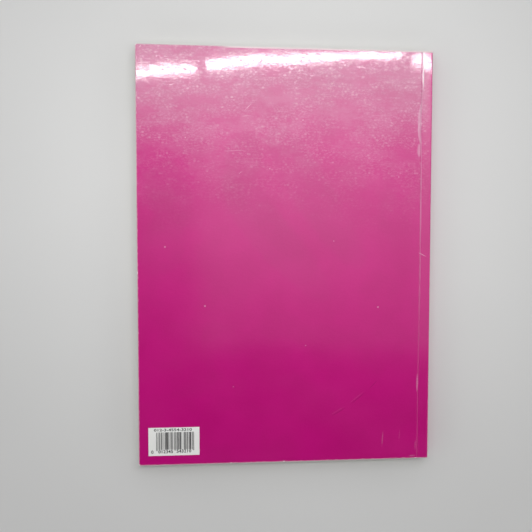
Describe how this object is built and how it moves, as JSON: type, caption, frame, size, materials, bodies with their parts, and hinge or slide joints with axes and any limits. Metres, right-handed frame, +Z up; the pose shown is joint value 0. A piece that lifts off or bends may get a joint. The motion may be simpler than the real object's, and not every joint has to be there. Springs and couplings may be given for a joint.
{
  "type": "paperback book",
  "caption": "Large thin perfect-bound paperback with a glossy laminated card cover, hinged covers and a barcode field on the back.",
  "frame": {"origin": "under the middle of the closed book, on the surface that it lies on", "axes": "+X points from the fore-edge to the spine, +Y from the tail to the head, +Z up through the back cover; the book lies on its front cover"},
  "size_m": [0.21, 0.295, 0.0101],
  "materials": {
    "laminated_cover": "gloss",
    "leaf_paper": "matte",
    "binding_glue": "satin",
    "white_print": "gloss",
    "black_print": "gloss"
  },
  "bodies": {
    "front": {"front_cover": "laminated_cover"},
    "block": {"page_block": "leaf_paper", "spine_glue": "binding_glue", "cover_spine": "laminated_cover"},
    "back": {"back_cover": "laminated_cover", "barcode_panel": "white_print", "barcode_bars": "black_print"}
  },
  "joints": [
    {"name": "front_cover_hinge", "type": "hinge", "parent": "front", "child": "block", "pos_m": [0.097, 0, 0], "axis": [0, 1, 0], "range_deg": [0, 170]},
    {"name": "back_cover_hinge", "type": "hinge", "parent": "block", "child": "back", "pos_m": [0.097, 0, 0.01], "axis": [0, 1, 0], "range_deg": [0, 170]}
  ]
}
